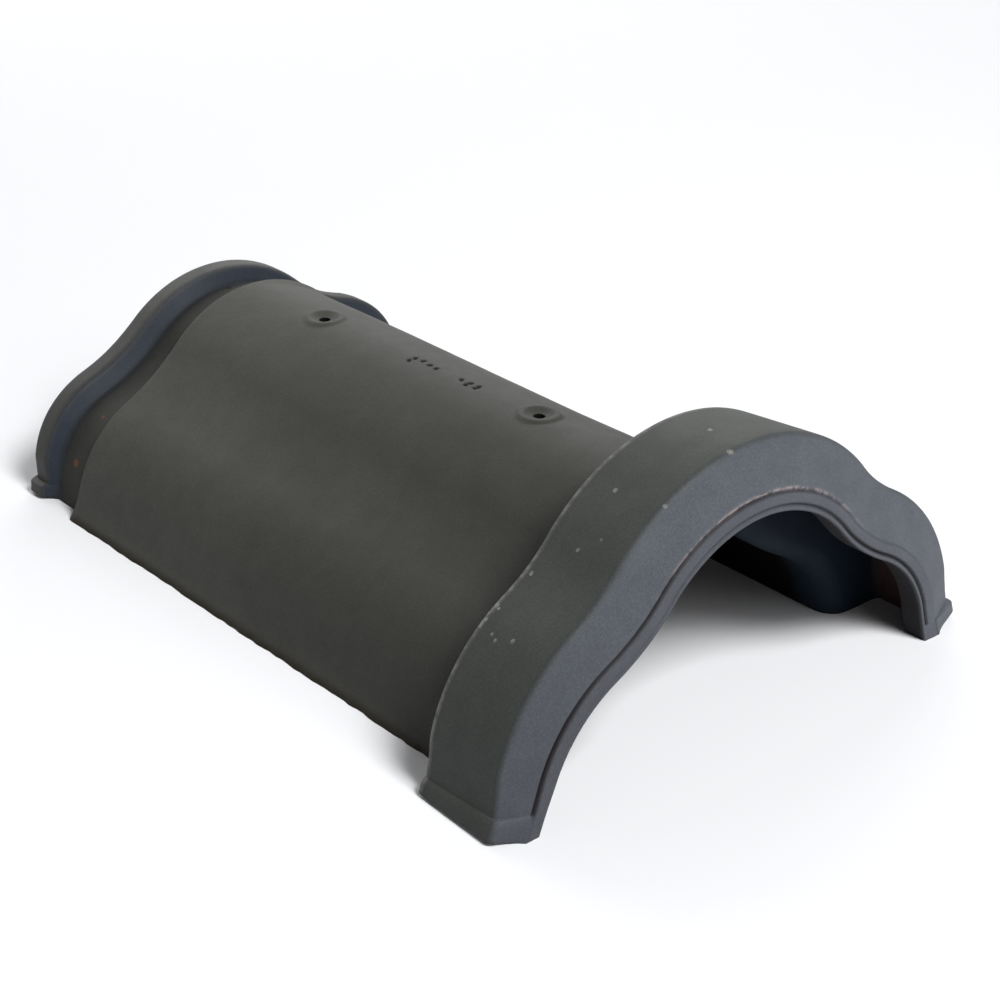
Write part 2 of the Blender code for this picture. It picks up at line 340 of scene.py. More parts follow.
def fillet(before, corner, after, radius, steps):
    """Points of the arc that rounds a corner, its reach limited by the sides it joins."""
    if steps == 0:
        return [corner]
    side_in = before - corner
    side_out = after - corner
    length_in = np.linalg.norm(side_in, axis=-1, keepdims=True)
    length_out = np.linalg.norm(side_out, axis=-1, keepdims=True)
    side_in = side_in / length_in
    side_out = side_out / length_out
    cosine = np.clip((side_in * side_out).sum(axis=-1, keepdims=True), -STRAIGHT, STRAIGHT)
    half = np.arccos(cosine) / 2.0
    reach = np.minimum(radius / np.tan(half), FILLET_SHARE * np.minimum(length_in, length_out))
    bisector = side_in + side_out
    bisector = bisector / np.linalg.norm(bisector, axis=-1, keepdims=True)
    centre = corner + bisector * reach / np.cos(half)
    start = corner + side_in * reach - centre
    end = corner + side_out * reach - centre
    swing = math.pi - 2.0 * half
    points = []
    for step in range(steps + 1):
        share = step / steps
        turned = np.sin((1.0 - share) * swing) * start + np.sin(share * swing) * end
        points.append(centre + turned / np.sin(swing))
    return points


def section_points(t, proud, rim_proud, flush):
    """Section at every arch parameter, and each point's kind.

    Each point has x, y, z, the depth of its groove, its height over the lip's edge, and t. The
    kind is the point's number along the section.
    """
    corners = section_corners(t, proud, rim_proud, flush)
    flat = [np.stack(np.broadcast_arrays(place + 0.0 * t, height + 0.0 * t), axis=-1)
            for place, height, _, _, _ in corners]
    rounded = [fillet(flat[index - 1], flat[index], flat[(index + 1) % len(flat)], corner[2], corner[3])
               for index, corner in enumerate(corners)]
    outline = []
    kinds = []
    for index, corner in enumerate(corners):
        outline += rounded[index]
        kinds += list(index + np.linspace(0.0, CORNER_SPAN, len(rounded[index])))
        start = rounded[index][-1]
        end = rounded[(index + 1) % len(corners)][0]
        outline += [start + (end - start) * share for share in corner[4]]
        kinds += [index + SIDE] * len(corner[4])
    outline = np.stack(outline, axis=1)
    kinds = np.array(kinds)
    mouth = blend(MOUTH_CLEARANCE, t)[:, None]
    lip = mouth + blend(LIP_WIDTH, t)[:, None]
    height = outline[:, :, 1]
    bead = mouth + BEAD_WIDTH
    groove = blend(LIP_GROOVE, t)[:, None] * bell(height - lip, GROOVE_SPREAD)
    groove += blend(BEAD_GROOVE, t)[:, None] * bell(height - bead, GROOVE_SPREAD)
    groove *= (kinds >= LIP_SIDE) * (1.0 - flush)
    points, normals = arch(t)
    place = points[:, None, :] + normals[:, None, :] * outline[:, :, 1:]
    along = outline[:, :, 0] + groove - MIDDLE
    shares = t[:, None] + np.zeros_like(height)
    return np.stack((place[:, :, 0], along, place[:, :, 1], groove, height - lip, shares), axis=-1), kinds


def places_at_height(table, t, heights):
    """Distance t down one side at which each point of the section comes to its height."""
    return np.array([np.interp(heights[k], table[::-1, k, 2], t[::-1]) for k in range(table.shape[1])])


def row_at(table, t, places):
    """One row of the loft, with each point of the section at its own place down the side."""
    return np.array([[np.interp(places[k], t, table[:, k, axis]) for axis in range(table.shape[2])]
                     for k in range(table.shape[1])])


def row_shares(lowest):
    """Shares of the way down a side for the rows, closest together along the crest."""
    unit = CROWN_RADIUS * CROWN_SWEEP
    places = [0.0]
    for limit, pitch in CREST_ROWS:
        while places[-1] < limit / unit:
            places.append(places[-1] + pitch / unit)
    rest = lowest - places[-1]
    count = math.ceil(rest / ROW_STEP)
    places += [places[-1] + rest * step / count for step in range(1, count + 1)]
    return np.array(places) / lowest


def ledge(height, top, rounding):
    """Share of a strip's full reach at a height, round at its top edge."""
    over = np.clip((height - top + rounding) / rounding, 0.0, 1.0)
    return math.sqrt(1.0 - over**2)


def side_rows(side, strip_top, strip_proud, strip_round, dip):
    """Rows from the crown down to the ground on one side of the tile."""
    t = np.linspace(0.0, TABLE_END, TABLE_STEPS)
    table, kinds = section_points(side * t, 0.0, 0.0, 0.0)
    behind = np.clip((table[0, :, 1] + MIDDLE) / STRIP_DIP_LENGTH, 0.0, 1.0)
    lowered = 1.0 - dip * behind
    lowest = places_at_height(table, t, strip_top * lowered)
    rows = [row_at(table, t, lowest * share) for share in row_shares(float(np.median(lowest)))]
    heights = list(strip_top - strip_round * even(ROUND_ROWS) ** CROWDING)
    heights += list(np.linspace(strip_top - strip_round, FOOT_CHAMFER, STRIP_ROWS))
    heights += list(FOOT_CHAMFER * (1.0 - even(CHAMFER_ROWS))) + [0.0]
    for height in heights:
        share = ledge(height, strip_top, strip_round)
        rim_share = ledge(height, strip_top, STRIP_ROUND_RIM)
        hollow = np.clip(1.0 - height / FOOT_CHAMFER, 0.0, 1.0) ** 2 * FOOT_CHAMFER
        table, _ = section_points(side * t, strip_proud * share - hollow,
                                  strip_proud * rim_share - hollow, share)
        rows.append(row_at(table, t, places_at_height(table, t, height * lowered)))
    rows[0][:, 0] = 0.0
    rows[-1][:, 2] = 0.0
    return rows, kinds


def cloud(points, pitch, seed):
    """Smooth random field between -1 and 1 that changes over about one pitch."""
    table = np.random.default_rng(seed).uniform(-1.0, 1.0, (NOISE_CELLS,) * 3)
    scaled = points / pitch
    base = np.floor(scaled).astype(int)
    u = scaled - base
    u = u * u * (3.0 - 2.0 * u)
    total = np.zeros(points.shape[:-1])
    for corner in np.ndindex(2, 2, 2):
        index = (base + corner) % NOISE_CELLS
        weight = np.prod(np.where(np.array(corner) == 1, u, 1.0 - u), axis=-1)
        total += weight * table[index[..., 0], index[..., 1], index[..., 2]]
    return total


def grid_normals(grid):
    """Outward normals of the grid [row, column, axis], whose columns close into a ring."""
    along = np.roll(grid, -1, axis=1) - np.roll(grid, 1, axis=1)
    down = np.gradient(grid, axis=0)
    normals = np.cross(down, along)
    normals /= np.maximum(np.linalg.norm(normals, axis=-1, keepdims=True), SHORTEST_NORMAL)
    return normals


def sink_body(grid, places, on_body):
    """Slight sag of the body beside its crest."""
    along = grid[:, :, 1] + MIDDLE
    sag = SAG * smooth((along - SAG_START) / SAG_LENGTH)
    sag += REAR_SAG * smooth((along - REAR_SAG_START) / (BODY_BACK - REAR_SAG_START))
    spread = smooth(places / SAG_SPREAD) * smooth(SAG_END - places)
    grid[:, :, 2] -= np.where(on_body, sag * spread, 0.0)


def press_nail_places(grid, on_body):
    """Raised ring and dish round each nail hole, as heights over the level of the crest."""
    ring = RING_DIAMETER / 2.0
    dish = DISH_DIAMETER / 2.0
    for sideways, along in NAIL_PLACES:
        distance = np.hypot(grid[:, :, 0] - sideways, grid[:, :, 1] - (along - MIDDLE))
        hold = smooth((ring - distance) / (ring - dish - RING_CREST))
        sink = DISH_DEPTH * np.clip(1.0 - (distance / dish) ** 2, 0.0, 1.0) ** DISH_STEEPNESS
        target = CREST_HEIGHT - RING_FOLLOW * (CREST_HEIGHT - grid[:, :, 2]) + RING_RISE - sink
        shifted = grid[:, :, 2] + hold * (target - grid[:, :, 2])
        grid[:, :, 2] = np.where(on_body & (distance < ring), shifted, grid[:, :, 2])


def press_strokes(grid, on_body):
    """Short strokes pressed into the crest; returns how deep each point lies in them, as the share of
    painted shade that darkens them.
    """
    share = np.zeros(grid.shape[:2])
    for index, (sideways, place) in enumerate(STROKES):
        angle = STROKE_TILT * math.sin(STROKE_PHASE + STROKE_TURN * index)
        across = grid[:, :, 0] - sideways
        along = grid[:, :, 1] - (place - MIDDLE)
        lengthwise = across * math.cos(angle) + along * math.sin(angle)
        crosswise = along * math.cos(angle) - across * math.sin(angle)
        over = np.clip(np.abs(lengthwise) - STROKE_LENGTH / 2.0, 0.0, None)
        share = np.maximum(share, bell(np.hypot(over, crosswise), STROKE_SPREAD))
    share *= on_body
    grid[:, :, 2] -= STROKE_DEPTH * share
    return np.minimum(STROKE_SHADE_TINT * share, 1.0)


def roughen(grid, kinds):
    """Unevenness of the whole surface, and the splay and the burr under the body."""
    normals = grid_normals(grid)
    lift = sum(height * (cloud(grid, pitch, seed) - SWELL_LEVEL) for pitch, height, seed in SWELLS)
    outside = between(kinds, BODY_SIDE, BODY_SIDE + 1 + SIDE)
    near_foot = smooth(1.0 - grid[:, :, 2] / BURR_HEIGHT)
    uneven = BURR_UNEVEN * np.where(outside, 1.0, COLLAR_BURR)
    ragged = uneven * (cloud(grid, BURR_PITCH, BURR_SEED) - SWELL_LEVEL)
    burr = near_foot * (BURR_REACH * outside + ragged)
    burr += smooth(1.0 - grid[:, :, 2] / SPLAY_HEIGHT) * SPLAY_REACH * outside
    moved = grid + normals * (lift + burr)[:, :, None]
    moved[:, :, 2] = np.where(grid[:, :, 2] <= 0.0, 0.0, moved[:, :, 2])
    return np.clip(moved, np.array(cad_low), np.array(cad_high))


# Painted blue light from the front on the throat and the front of the vault
THROAT_PAINTED_LIGHT = (0.0080, 0.0135, 0.0215)

# Colour of each zone of the surface, by the numbers along the section; some zones carry painted light and
# shade, as marked in the table
ZONES = (
    # face: partly its own tone, partly painted cool light from the front
    (0.0, (0.060, 0.066, 0.076)),
    (0.4, (0.037, 0.040, 0.037)),
    (1.4, (0.037, 0.040, 0.037)),
    (1.5, (0.030, 0.031, 0.027)),
    (2.0, (0.034, 0.035, 0.030)),
    (2.4, (0.041, 0.0415, 0.0365)),
    (3.0, (0.041, 0.0415, 0.0365)),
    # painted highlight along the body's rear edge
    (3.2, (0.060, 0.060, 0.053)),
    (3.5, (0.034, 0.035, 0.030)),
    # the channel darkens towards the ramp: painted shade in its corner
    (4.0, (0.028, 0.029, 0.025)),
    (4.9, (0.025, 0.025, 0.022)),
    (5.0, (0.020, 0.022, 0.024)),
    (5.4, (0.016, 0.019, 0.025)),
    # the ramp's blue is painted cool light from the front
    (5.5, (0.019, 0.024, 0.033)),
    (6.0, (0.021, 0.025, 0.033)),
    # the rim top's lighter tone is a painted highlight
    (6.3, (0.060, 0.061, 0.060)),
    (6.5, (0.065, 0.065, 0.060)),
    (7.0, (0.062, 0.064, 0.064)),
    (8.0, (0.040, 0.041, 0.037)),
    # the near-black inside of the vault is painted shade
    (8.4, (0.018, 0.013, 0.011)),
    (8.5, (0.0030, 0.0020, 0.0015)),
    (8.99, (0.0030, 0.0020, 0.0015)),
    # the throat's blue and the dark navy past it are painted light from the front and painted shade
    (9.0, THROAT_PAINTED_LIGHT),
    (9.4, (0.007, 0.011, 0.017)),
    (10.0, (0.007, 0.011, 0.017)),
    (10.5, (0.034, 0.020, 0.019)),
    (11.5, (0.030, 0.018, 0.017)),
    (12.0, (0.019, 0.014, 0.014)),
    (12.5, (0.0135, 0.0130, 0.0150)),
    (12.9, (0.0135, 0.0130, 0.0150)),
    (13.0, (0.030, 0.032, 0.036)),
    # lip and face again: partly their own tone, partly painted cool light from the front
    (13.4, (0.062, 0.066, 0.076)),
    (14.5, (0.049, 0.053, 0.063)),
    (15.0, (0.060, 0.066, 0.076)),
    (15.5, (0.060, 0.066, 0.076)),
)

# Painted light and shade: across the face, along the body, and down the rim from its front corner
FACE_SHADE = 0.16
BODY_SHADE = (0.71, 1.10)
RIM_SHADE_START = 6.1
RIM_SHADE_PLACES = (0.4, 1.8)
RIM_SHADE = (0.95, 0.68)

# Reach of the throat's painted blue light into the vault, and how far over the lip's edge the chips lie
THROAT_GLOW = 0.024
THROAT_FADE = 0.010
CHIP_OFFSET = 1.4

# Painted shade, near black, inside the nail holes and the pits, and a tone that is lighter than all the
# clay's own
HOLE_SHADE_COLOUR = (0.006, 0.005, 0.005, 1.0)
BRIGHTEST_TONE = 0.5


def surface_values(grid, kinds, groove, over_lip, places, strokes):
    """Values of the finish at each point: its grooves and strokes, darkened with painted shade, chips, a
    pale edge that is partly wear and partly a painted highlight, and darkening towards the feet.
    """
    every = np.ones(places.shape)
    chipped = blend(CHIPPED_LIP, places) * bell(over_lip - CHIP_OFFSET * GROOVE_SPREAD, GROOVE_SPREAD)
    # darker towards the ground, less so on the collar
    darkened = np.where(between(kinds, BODY_SIDE, BODY_SIDE + 1), 1.0, COLLAR_FOOT_DARK) * (kinds < UNDERSIDE)
    return {
        # painted shade in the lip's grooves and the pressed strokes
        "groove": np.maximum(groove / max(LIP_GROOVE), strokes),
        "chipped": chipped * (kinds >= LIP_SIDE),
        # pale band edge: partly wear, partly a painted highlight
        "edge": between(kinds, BAND_EDGE - SIDE, BAND_EDGE + CORNER_SPAN) * every,
        "foot_dark": smooth(1.0 - grid[:, :, 2] / FOOT_DARK_HEIGHT) * darkened,
    }


def surface_tone(grid, kinds, places):
    """Colour of the finish at each point: that of its zone, with painted light and shade by its place, and
    painted blue light from the throat into the vault.
    """
    zone_kinds = [kind for kind, _ in ZONES]
    tone = np.stack([np.interp(kinds, zone_kinds, [colour[axis] for _, colour in ZONES])
                     for axis in range(3)] + [np.ones(len(kinds))], axis=-1)
    tone = np.tile(tone, (len(places), 1, 1))
    along = grid[:, :, 1] + MIDDLE
    # painted light and shade: the face lighter to the right, the body darker near the collar and lighter
    # towards its rear end, the rim darker down its sides
    front = (kinds < CORNER_SPAN) | (kinds >= LIP_SIDE)
    shade = np.where(front, 1.0 + FACE_SHADE * np.clip(places / STATIONS[-2], -1.0, 1.0), 1.0)
    body = (kinds >= BODY_SIDE) & (kinds <= BODY_SIDE + 1)
    shade = np.where(body, np.interp(along, (COLLAR_BACK, BODY_BACK), BODY_SHADE), shade)
    rim = between(kinds, RIM_SHADE_START, UNDERSIDE)
    shade = np.where(rim, np.interp(np.abs(places), RIM_SHADE_PLACES, RIM_SHADE), shade)
    tone[:, :, :3] *= shade[:, :, None]
    # painted blue light from the front on the vault just behind the throat
    vault = between(kinds, UNDERSIDE + CORNER_SPAN, THROAT)
    near = smooth((THROAT_GLOW + RECESS_BACK - along) / THROAT_FADE) * vault
    tone[:, :, :3] += near[:, :, None] * (np.array(THROAT_PAINTED_LIGHT) - tone[:, :, :3])
    return tone


def tile_grid():
    """Points from the left foot to the right foot, the finish and its painted light and shade at each, and
    which lie underneath.
    """
    left, kinds = side_rows(-1.0, STRIP_TOP_LEFT, STRIP_PROUD_LEFT, STRIP_ROUND_LEFT, STRIP_DIP)
    right, _ = side_rows(1.0, STRIP_TOP_RIGHT, STRIP_PROUD_RIGHT, STRIP_ROUND_RIGHT, 0.0)
    table = np.array(left[:0:-1] + right)
    grid = table[:, :, :3].copy()
    groove, over_lip, places = table[:, :, 3], table[:, :, 4], table[:, :, 5]
    on_body = (kinds == BODY_SIDE + SIDE) & (np.abs(places) < BEND_END)
    sink_body(grid, places, on_body)
    on_crest = on_body & (np.abs(places) < CROWN_END)
    press_nail_places(grid, on_crest)
    strokes = press_strokes(grid, on_crest)
    values = surface_values(grid, kinds, groove, over_lip, places, strokes)
    tone = surface_tone(grid, kinds, places)
    return roughen(grid, kinds), values, tone, between(kinds, UNDERSIDE + CORNER_SPAN, LIP_SIDE)


def keep_values(mesh, values, tone):
    """Keep the values of the finish and its colour, painted light and shade included, on the mesh's points.
    """
    for name, shares in values.items():
        attribute = mesh.attributes.new(name, "FLOAT", "POINT")
        attribute.data.foreach_set("value", np.clip(shares, 0.0, 1.0).astype(np.float32).ravel())
    colours = mesh.attributes.new("tone", "FLOAT_COLOR", "POINT")
    colours.data.foreach_set("color", tone.astype(np.float32).ravel())


def tile_mesh(grid, values, tone, underneath):
    """Closed mesh of the grid, with the finish and its painted light and shade as values on its points."""
    mesh = bpy.data.meshes.new("tile_surface")
    rows, columns = grid.shape[:2]
    index = np.arange(rows * columns).reshape(rows, columns)
    after = np.roll(index, -1, axis=1)
    quads = np.stack((index[:-1], after[:-1], after[1:], index[1:]), axis=-1).reshape(-1, 4)
    faces = quads.tolist() + [index[0][::-1].tolist(), index[-1].tolist()]
    mesh.from_pydata(grid.reshape(-1, 3).tolist(), [], faces)
    keep_values(mesh, values, tone)
    slots = np.tile(underneath & np.roll(underneath, -1), rows - 1).astype(np.int32)
    mesh.polygons.foreach_set("material_index", np.append(slots, (0, 0)).astype(np.int32))
    mesh.materials.append(clay_material("engobed_clay", OUTER_SHEEN))
    mesh.materials.append(clay_material("vault_clay", INNER_SHEEN))
    shape = bmesh.new()
    shape.from_mesh(mesh)
    bmesh.ops.recalc_face_normals(shape, faces=shape.faces)
    shape.to_mesh(mesh)
    shape.free()
    return mesh


def nail_tool(materials):
    """Two upright rods that cut the nail holes, with the materials of the tile."""
    shape = bmesh.new()
    radius = NAIL_DIAMETER / 2.0
    for sideways, along in NAIL_PLACES:
        place = Matrix.Translation((sideways, along - MIDDLE, CREST_HEIGHT - BODY_WALL / 2.0))
        bmesh.ops.create_cone(shape, cap_ends=True, segments=BORE_STEPS, radius1=radius,
                              radius2=radius, depth=BORE_WALLS * BODY_WALL, matrix=place)
    mesh = bpy.data.meshes.new("nail_tool")
    shape.to_mesh(mesh)
    shape.free()
    for material in materials:
        mesh.materials.append(material)
    mesh.polygons.foreach_set("material_index", np.ones(len(mesh.polygons), dtype=np.int32))
    tool = bpy.data.objects.new("nail_tool", mesh)
    bpy.context.scene.collection.objects.link(tool)
    return tool


def darken_bores(mesh):
    """Give the points that the rods left without a tone painted shade, near black, inside the holes."""
    tones = mesh.attributes["tone"].data
    colours = np.empty(4 * len(tones), dtype=np.float32)
    tones.foreach_get("color", colours)
    colours = colours.reshape(-1, 4)
    colours[colours[:, 0] > BRIGHTEST_TONE] = HOLE_SHADE_COLOUR
    tones.foreach_set("color", colours.ravel())


def make_tile():
    """The dressed tile as one object."""
    tile = bpy.data.objects.new("clay_tile", tile_mesh(*tile_grid()))
    bpy.context.scene.collection.objects.link(tile)
    tool = nail_tool(tile.data.materials)
    cut = tile.modifiers.new("nail_holes", "BOOLEAN")
    cut.operation = "DIFFERENCE"
    cut.solver = "EXACT"
    cut.object = tool
    graph = bpy.context.evaluated_depsgraph_get()
    finished = bpy.data.meshes.new_from_object(tile.evaluated_get(graph))
    tile.modifiers.clear()
    tile.data = finished
    bpy.data.objects.remove(tool, do_unlink=True)
    darken_bores(finished)
    finished.shade_smooth()
    finished.set_sharp_from_angle(angle=SHARP_ANGLE)
    return tile


class Nodes:
    """Short way to add and join the nodes of a material."""

    def __init__(self, material):
        material.use_nodes = True
        self.tree = material.node_tree
        self.shader = self.tree.nodes["Principled BSDF"]

    def add(self, kind, inputs=None, **settings):
        """A node with its settings and inputs; an input is a value or another node's output."""
        node = self.tree.nodes.new(kind)
        for name, value in settings.items():
            setattr(node, name, value)
        for name, value in (inputs or {}).items():
            self.put(node.inputs[name], value)
        return node

    def put(self, socket, value):
        """Set a socket's value, or join an output to it."""
        if isinstance(value, bpy.types.NodeSocket):
            self.tree.links.new(value, socket)
        else:
            socket.default_value = value

    def math(self, operation, first, second, third=0.0):
        """Result of one calculation."""
        node = self.add("ShaderNodeMath", {0: first, 1: second, 2: third}, operation=operation)
        return node.outputs[0]

    def vector(self, operation, inputs):
        """Result of one calculation with vectors."""
        return self.add("ShaderNodeVectorMath", inputs, operation=operation).outputs["Vector"]

    def noise(self, coordinates, scale, detail, roughness):
        """Noise field with a value and a colour."""
        return self.add("ShaderNodeTexNoise", {"Vector": coordinates, "Scale": scale, "Detail": detail,
                                               "Roughness": roughness})

    def spread(self, value, low, high, to_low, to_high):
        """Value moved softly from one range to another."""
        node = self.add("ShaderNodeMapRange", {"Value": value, "From Min": low, "From Max": high,
                                               "To Min": to_low, "To Max": to_high},
                        interpolation_type="SMOOTHSTEP")
        return node.outputs["Result"]

    def stain(self, colour, share, strength, tint):
        """Colour with a tint over it, as far as the share and the strength go."""
        cover = self.math("MULTIPLY", share, strength)
        return self.add("ShaderNodeMix", {0: cover, 6: colour, 7: tint}, data_type="RGBA").outputs[2]

    def mask(self, name):
        """Value kept on the mesh's points."""
        return self.add("ShaderNodeAttribute", attribute_name=name).outputs["Fac"]


# Flecks of the finish, as (x, place along the ridge, z, radius)
PALE_FLECKS = (
    (-0.0895, 0.0393, 0.0681, 0.0013), (-0.0901, 0.0374, 0.0678, 0.0010), (-0.0929, 0.0403, 0.0655, 0.0012),
    (-0.0949, 0.0391, 0.0643, 0.0010), (-0.0960, 0.0400, 0.0630, 0.0008), (-0.0973, 0.0396, 0.0622, 0.0010),
    (-0.0980, 0.0321, 0.0622, 0.0009), (-0.0993, 0.0289, 0.0614, 0.0010), (-0.0972, 0.0214, 0.0637, 0.0011),
    (-0.0754, 0.0365, 0.0776, 0.0012), (-0.0649, 0.0226, 0.0891, 0.0010), (-0.0604, 0.0152, 0.0946, 0.0008),
    (-0.0445, 0.0249, 0.1059, 0.0013), (-0.0016, 0.0196, 0.1189, 0.0014), (-0.0104, 0.0007, 0.1194, 0.0016),
    (-0.0432, 0.0004, 0.1083, 0.0010),
)
RED_FLECKS = ((-0.0962, 0.3312, 0.0214, 0.0022), (-0.0809, 0.3295, 0.0408, 0.0012))
# dark pits: spots of painted shade
DARK_PITS = ((-0.0010, 0.3394, 0.0810, 0.0016), (-0.1067, 0.0649, 0.0006, 0.0022))
FLECK_CORE = 0.6

# Noise fields of the finish, as (scale, detail, roughness)
CLOUDS = (16.0, 3.0, 0.5)
PATCHES = (90.0, 4.0, 0.6)
GRAIN = (1300.0, 3.0, 0.7)
BREAKS = (260.0, 3.0, 0.6)
RIPPLE = (320.0, 3.0, 0.55)
WARP = (700.0, 2.0, 0.5)
WARP_MIDDLE = (0.5, 0.5, 0.5)
WARP_REACH = 0.0012

# What a field's values from low to high turn into, as (low, high, result at low, result at high)
CLOUD_LEVELS = (0.30, 0.70, 0.95, 1.05)
PATCH_LEVELS = (0.30, 0.75, 1.04, 0.94)
GRAIN_LEVELS = (0.35, 0.80, 0.92, 1.30)
WEAR_AND_HIGHLIGHT_LEVELS = (0.40, 0.62, 0.30, 0.85)
CHIP_LEVELS = (0.42, 0.58, 0.05, 0.80)
FLECK_LEVELS = (0.35, 0.60, 0.15, 0.70)
ROUGHNESS_LEVELS = (0.30, 0.75, 0.55, 0.58)

# Colours over the clay's tone, among them painted shade in the grooves, holes and pits and a partly painted
# highlight on the band's edge, and how far the even ones cover it
WEAR_AND_HIGHLIGHT_COLOUR = (0.15, 0.15, 0.14, 1.0)
FOOT_DARK_COLOUR = (0.015, 0.011, 0.005, 1.0)
GROOVE_SHADE_COLOUR = (0.006, 0.004, 0.005, 1.0)
CHIP_COLOUR = (0.30, 0.25, 0.245, 1.0)
FLECK_COLOUR = (0.20, 0.20, 0.18, 1.0)
RED_COLOUR = (0.16, 0.05, 0.03, 1.0)
FOOT_DARK_SHARE = 0.95
GROOVE_SHADE_SHARE = 0.95
RED_SHARE = 0.6
PIT_SHARE = 0.9

# Sheen and fine relief of the fired surface
OUTER_SHEEN = 0.12
INNER_SHEEN = 0.06
CLAY_IOR = 1.5
GRAIN_RELIEF = 0.35
RELIEF_STRENGTH = 0.30
RELIEF_HEIGHT = 0.0002


def flecks(nodes, coordinates, places):
    """Share that is 1 within each of the places and 0 away from them."""
    total = 0.0
    for x, along, z, radius in places:
        offset = nodes.add("ShaderNodeVectorMath", {0: coordinates, 1: (x, along - MIDDLE, z)},
                           operation="DISTANCE")
        share = nodes.spread(offset.outputs["Value"], radius * FLECK_CORE, radius, 1.0, 0.0)
        total = nodes.math("MAXIMUM", total, share)
    return total


def clay_material(name, sheen):
    """Smoked clay: dark matt grey with faint clouds, a fine grain, worn edges and chipped spots, over a tone
    with painted light and shade; painted shade in the grooves, strokes, holes and pits, and a partly painted
    highlight on the band's edge.
    """
    material = bpy.data.materials.new(name)
    nodes = Nodes(material)
    position = nodes.add("ShaderNodeTexCoord").outputs["Object"]
    clouds, patches, grain, breaks, ripple = [nodes.noise(position, *field).outputs["Fac"]
                                              for field in (CLOUDS, PATCHES, GRAIN, BREAKS, RIPPLE)]
    level = nodes.math("MULTIPLY", nodes.spread(clouds, *CLOUD_LEVELS), nodes.spread(patches, *PATCH_LEVELS))
    level = nodes.math("MULTIPLY", level, nodes.spread(grain, *GRAIN_LEVELS))
    # the tone carries painted light and shade
    tone = nodes.add("ShaderNodeAttribute", attribute_name="tone").outputs["Color"]
    colour = nodes.vector("SCALE", {0: tone, 3: level})
    # pale band edge: partly wear, partly a painted highlight
    colour = nodes.stain(colour, nodes.mask("edge"), nodes.spread(breaks, *WEAR_AND_HIGHLIGHT_LEVELS), WEAR_AND_HIGHLIGHT_COLOUR)
    # darker towards the ground along the feet
    colour = nodes.stain(colour, nodes.mask("foot_dark"), FOOT_DARK_SHARE, FOOT_DARK_COLOUR)
    # painted shade in the grooves and strokes
    colour = nodes.stain(colour, nodes.mask("groove"), GROOVE_SHADE_SHARE, GROOVE_SHADE_COLOUR)
    colour = nodes.stain(colour, nodes.mask("chipped"), nodes.spread(breaks, *CHIP_LEVELS), CHIP_COLOUR)
    shift = nodes.vector("SUBTRACT", {0: nodes.noise(position, *WARP).outputs["Color"], 1: WARP_MIDDLE})
    warped = nodes.vector("ADD", {0: position, 1: nodes.vector("SCALE", {0: shift, 3: WARP_REACH})})
    pale, red, dark = [flecks(nodes, warped, places) for places in (PALE_FLECKS, RED_FLECKS, DARK_PITS)]
    colour = nodes.stain(colour, pale, nodes.spread(grain, *FLECK_LEVELS), FLECK_COLOUR)
    colour = nodes.stain(colour, red, RED_SHARE, RED_COLOUR)
    # painted shade in the pits
    colour = nodes.stain(colour, dark, PIT_SHARE, HOLE_SHADE_COLOUR)
    nodes.put(nodes.shader.inputs["Base Color"], colour)
    nodes.put(nodes.shader.inputs["Roughness"], nodes.spread(patches, *ROUGHNESS_LEVELS))
    nodes.shader.inputs["Specular IOR Level"].default_value = sheen
    nodes.shader.inputs["Metallic"].default_value = 0.0
    nodes.shader.inputs["IOR"].default_value = CLAY_IOR
    relief = nodes.math("MULTIPLY_ADD", grain, GRAIN_RELIEF, ripple)
    bump = nodes.add("ShaderNodeBump", {"Height": relief, "Strength": RELIEF_STRENGTH,
                                        "Distance": RELIEF_HEIGHT})
    nodes.put(nodes.shader.inputs["Normal"], bump.outputs["Normal"])
    return material


# Soft square lights round the tile: azimuth and elevation in degrees, size in metres, power in watts
LIGHTS = (
    ("key_light", 0.0, 50.0, 0.7, 67.9),
    ("low_key_light", 0.0, 38.0, 0.9, 14.0),
    ("back_right_light", 135.0, 30.0, 1.4, 22.8),
    ("back_light", 180.0, 30.0, 1.4, 20.7),
    ("back_left_light", 225.0, 30.0, 1.4, 3.1),
)
LIGHT_AIM = (0.0, 0.0, 0.05)
LIGHT_DISTANCE = 2.4

# Pale floor
FLOOR_REACH = 12.0
FLOOR_DROP = 0.0001
FLOOR_COLOUR = (0.722, 0.728, 0.745, 1.0)
FLOOR_ROUGHNESS = 0.9
FLOOR_SHEEN = 0.1

# White sky: heights between which it dims, and its strength below and above them
SKY_COLOUR = (1.0, 1.0, 1.0, 1.0)
SKY_LOW = 0.17
SKY_HIGH = 0.34
SKY_PALE = 0.90
SKY_DIM = 0.03


def direction(azimuth, elevation):
    """Unit vector towards an azimuth from the front and an elevation."""
    return Vector((math.sin(azimuth) * math.cos(elevation), -math.cos(azimuth) * math.cos(elevation),
                   math.sin(elevation)))


def add_light(name, azimuth, elevation, size, power):
    """Soft square light turned to the tile."""
    light = bpy.data.lights.new(name, "AREA")
    light.shape = "SQUARE"
    light.size = size
    light.energy = power
    lamp = bpy.data.objects.new(name, light)
    away = direction(math.radians(azimuth), math.radians(elevation))
    lamp.location = Vector(LIGHT_AIM) + LIGHT_DISTANCE * away
    lamp.rotation_euler = (-away).to_track_quat("-Z", "Y").to_euler()
    bpy.context.scene.collection.objects.link(lamp)


